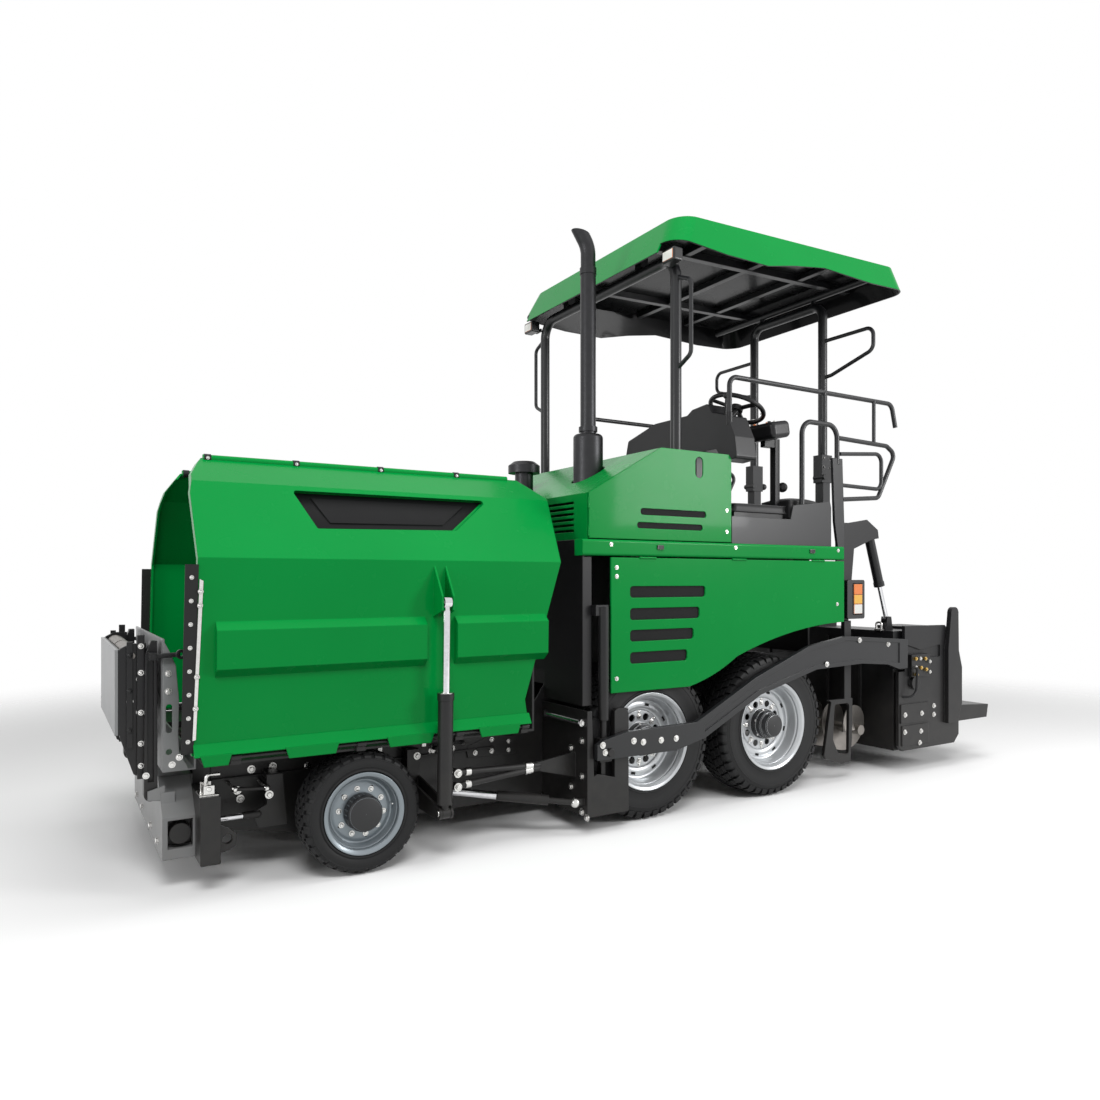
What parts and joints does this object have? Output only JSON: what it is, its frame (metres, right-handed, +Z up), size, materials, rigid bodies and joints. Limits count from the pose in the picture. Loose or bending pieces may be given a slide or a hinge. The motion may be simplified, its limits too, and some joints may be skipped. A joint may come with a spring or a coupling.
{
  "type": "wheeled asphalt paver",
  "caption": "Compact wheeled asphalt paver with folding hopper wings, engine hood, canopied operator's platform, tow arms and an extending screed",
  "frame": {"origin": "on the ground under the middle of the overall box", "axes": "+X forward towards the hopper, +Y to the machine's left, +Z up"},
  "size_m": [6.1, 1.9824, 3.655],
  "materials": {
    "paint_green": "gloss",
    "frame_black": "satin",
    "frame_grey": "satin",
    "light_grey": "satin",
    "rim_silver": "satin",
    "rim_grey": "satin",
    "tyre": "matte",
    "chrome_rod": "polished",
    "cast": "rough",
    "seat_cover": "matte",
    "steel": "worn",
    "lens": "moulded"
  },
  "bodies": {
    "chassis": {"main_frame": "frame_black", "cross_members": "frame_black", "front_axle": "frame_black", "body_frame": "frame_black", "hopper_floor": "frame_black", "conveyor": "steel", "tow_brackets": "frame_black", "tandem_beams": "frame_black", "bumper_blocks": "frame_black", "push_beam": "light_grey", "front_apron": "light_grey", "engine_block": "cast", "hood": "paint_green", "side_rails": "paint_green", "platform": "frame_grey", "seats": "seat_cover", "console": "frame_black", "handrails": "frame_grey", "canopy_roof": "paint_green", "canopy_posts": "frame_grey", "exhaust": "frame_black", "air_intake": "frame_black", "lamps": "lens", "auger_brackets": "frame_black"},
    "screed": {"tow_arms": "frame_grey", "main_screed": "frame_black"},
    "folding_frame": {"folding_frame": "frame_black"},
    "push_rollers": {"push_rollers": "steel"},
    "knuckle_left": {"knuckle_left": "frame_black"},
    "front_wheel_left": {"front_tyre_left": "tyre", "front_rim_left": "rim_grey"},
    "mid_wheel_left": {"mid_tyre_left": "tyre", "mid_rim_left": "rim_silver"},
    "rear_wheel_left": {"rear_tyre_left": "tyre", "rear_rim_left": "rim_silver"},
    "wing_left": {"wing_left": "paint_green"},
    "wing_barrel_left": {"wing_barrel_left": "frame_black"},
    "wing_rod_left": {"wing_rod_left": "chrome_rod"},
    "hood_door_left": {"hood_door_left": "paint_green"},
    "side_door_left": {"side_door_left": "paint_green"},
    "extension_left": {"screed_extension_left": "frame_black"},
    "lift_barrel_left": {"lift_barrel_left": "frame_black"},
    "lift_rod_left": {"lift_rod_left": "chrome_rod"},
    "auger_left": {"auger_left": "steel"},
    "knuckle_right": {"knuckle_right": "frame_black"},
    "front_wheel_right": {"front_tyre_right": "tyre", "front_rim_right": "rim_grey"},
    "mid_wheel_right": {"mid_tyre_right": "tyre", "mid_rim_right": "rim_silver"},
    "rear_wheel_right": {"rear_tyre_right": "tyre", "rear_rim_right": "rim_silver"},
    "wing_right": {"wing_right": "paint_green"},
    "wing_barrel_right": {"wing_barrel_right": "frame_black"},
    "wing_rod_right": {"wing_rod_right": "chrome_rod"},
    "hood_door_right": {"hood_door_right": "paint_green"},
    "side_door_right": {"side_door_right": "paint_green"},
    "extension_right": {"screed_extension_right": "frame_black"},
    "lift_barrel_right": {"lift_barrel_right": "frame_black"},
    "lift_rod_right": {"lift_rod_right": "chrome_rod"},
    "auger_right": {"auger_right": "steel"}
  },
  "joints": [
    {"name": "screed_lift", "type": "hinge", "parent": "chassis", "child": "screed", "pos_m": [0.66, 0, 0.45], "axis": [0, 1, 0], "range_deg": [-2.7, 4]},
    {"name": "front_frame_fold", "type": "hinge", "parent": "chassis", "child": "folding_frame", "pos_m": [2.91, 0, 0.43], "axis": [0, 1, 0], "range_deg": [0, 90]},
    {"name": "push_roller_turn", "type": "hinge", "parent": "folding_frame", "child": "push_rollers", "pos_m": [2.982, 0, 1.055], "axis": [0, 1, 0], "continuous": true},
    {"name": "steer_left", "type": "hinge", "parent": "chassis", "child": "knuckle_left", "pos_m": [2.02, 0.705, 0.29], "axis": [0, 0, 1], "range_deg": [-25, 25]},
    {"name": "front_wheel_left_turn", "type": "hinge", "parent": "knuckle_left", "child": "front_wheel_left", "pos_m": [2.02, 0.765, 0.29], "axis": [0, 1, 0], "continuous": true},
    {"name": "mid_wheel_left_turn", "type": "hinge", "parent": "chassis", "child": "mid_wheel_left", "pos_m": [0.295, 0.715, 0.455], "axis": [0, 1, 0], "continuous": true},
    {"name": "rear_wheel_left_turn", "type": "hinge", "parent": "chassis", "child": "rear_wheel_left", "pos_m": [-0.718, 0.715, 0.455], "axis": [0, 1, 0], "continuous": true},
    {"name": "wing_left_fold", "type": "hinge", "parent": "chassis", "child": "wing_left", "pos_m": [1.9, 0.87, 0.625], "axis": [-1, 0, 0], "range_deg": [0, 70]},
    {"name": "wing_barrel_left_pivot", "type": "hinge", "parent": "chassis", "child": "wing_barrel_left", "pos_m": [1.64, 0.935, 0.255], "axis": [-1, 0, 0], "range_deg": [0, 48]},
    {"name": "wing_rod_left_slide", "type": "slide", "parent": "wing_barrel_left", "child": "wing_rod_left", "axis": [0, 0.0241, 0.9997], "range_m": [-0.254, 0]},
    {"name": "hood_door_left_swing", "type": "hinge", "parent": "chassis", "child": "hood_door_left", "pos_m": [0.724, 0.848, 1.9], "axis": [0, 0, -1], "range_deg": [0, 95]},
    {"name": "side_door_left_lift", "type": "hinge", "parent": "chassis", "child": "side_door_left", "pos_m": [-0.4, 0.888, 1.527], "axis": [1, 0, 0], "range_deg": [0, 80]},
    {"name": "extension_left_slide", "type": "slide", "parent": "screed", "child": "extension_left", "axis": [0, 1, 0], "range_m": [0, 0.6]},
    {"name": "lift_barrel_left_pivot", "type": "hinge", "parent": "chassis", "child": "lift_barrel_left", "pos_m": [-1.78, 0.76, 1.735], "axis": [0, 1, 0], "range_deg": [-1, 1.5]},
    {"name": "lift_rod_left_slide", "type": "slide", "parent": "lift_barrel_left", "child": "lift_rod_left", "axis": [-0.3117, 0, -0.9502], "range_m": [-0.195, 0.135]},
    {"name": "auger_left_turn", "type": "hinge", "parent": "chassis", "child": "auger_left", "pos_m": [-1.65, 0.4, 0.33], "axis": [0, 1, 0], "continuous": true},
    {"name": "steer_right", "type": "hinge", "parent": "chassis", "child": "knuckle_right", "pos_m": [2.02, -0.705, 0.29], "axis": [0, 0, 1], "range_deg": [-25, 25]},
    {"name": "front_wheel_right_turn", "type": "hinge", "parent": "knuckle_right", "child": "front_wheel_right", "pos_m": [2.02, -0.765, 0.29], "axis": [0, 1, 0], "continuous": true},
    {"name": "mid_wheel_right_turn", "type": "hinge", "parent": "chassis", "child": "mid_wheel_right", "pos_m": [0.295, -0.715, 0.455], "axis": [0, 1, 0], "continuous": true},
    {"name": "rear_wheel_right_turn", "type": "hinge", "parent": "chassis", "child": "rear_wheel_right", "pos_m": [-0.718, -0.715, 0.455], "axis": [0, 1, 0], "continuous": true},
    {"name": "wing_right_fold", "type": "hinge", "parent": "chassis", "child": "wing_right", "pos_m": [1.9, -0.87, 0.625], "axis": [1, 0, 0], "range_deg": [0, 70]},
    {"name": "wing_barrel_right_pivot", "type": "hinge", "parent": "chassis", "child": "wing_barrel_right", "pos_m": [1.64, -0.935, 0.255], "axis": [1, 0, 0], "range_deg": [0, 48]},
    {"name": "wing_rod_right_slide", "type": "slide", "parent": "wing_barrel_right", "child": "wing_rod_right", "axis": [0, -0.0241, 0.9997], "range_m": [-0.254, 0]},
    {"name": "hood_door_right_swing", "type": "hinge", "parent": "chassis", "child": "hood_door_right", "pos_m": [0.724, -0.848, 1.9], "axis": [0, 0, 1], "range_deg": [0, 95]},
    {"name": "side_door_right_lift", "type": "hinge", "parent": "chassis", "child": "side_door_right", "pos_m": [-0.4, -0.888, 1.527], "axis": [-1, 0, 0], "range_deg": [0, 80]},
    {"name": "extension_right_slide", "type": "slide", "parent": "screed", "child": "extension_right", "axis": [0, -1, 0], "range_m": [0, 0.6]},
    {"name": "lift_barrel_right_pivot", "type": "hinge", "parent": "chassis", "child": "lift_barrel_right", "pos_m": [-1.78, -0.76, 1.735], "axis": [0, 1, 0], "range_deg": [-1, 1.5]},
    {"name": "lift_rod_right_slide", "type": "slide", "parent": "lift_barrel_right", "child": "lift_rod_right", "axis": [-0.3117, 0, -0.9502], "range_m": [-0.195, 0.135]},
    {"name": "auger_right_turn", "type": "hinge", "parent": "chassis", "child": "auger_right", "pos_m": [-1.65, -0.4, 0.33], "axis": [0, 1, 0], "continuous": true}
  ],
  "couplings": [
    {"joint": "wing_barrel_left_pivot", "follows": "wing_left_fold", "ratio": 0.68},
    {"joint": "wing_rod_left_slide", "follows": "wing_left_fold", "m_per_rad": -0.2071},
    {"joint": "lift_barrel_left_pivot", "follows": "screed_lift", "ratio": 0.27},
    {"joint": "lift_rod_left_slide", "follows": "screed_lift", "m_per_rad": -2.72},
    {"joint": "wing_barrel_right_pivot", "follows": "wing_right_fold", "ratio": 0.68},
    {"joint": "wing_rod_right_slide", "follows": "wing_right_fold", "m_per_rad": -0.2071},
    {"joint": "lift_barrel_right_pivot", "follows": "screed_lift", "ratio": 0.27},
    {"joint": "lift_rod_right_slide", "follows": "screed_lift", "m_per_rad": -2.72},
    {"joint": "steer_right", "follows": "steer_left", "ratio": 1}
  ]
}
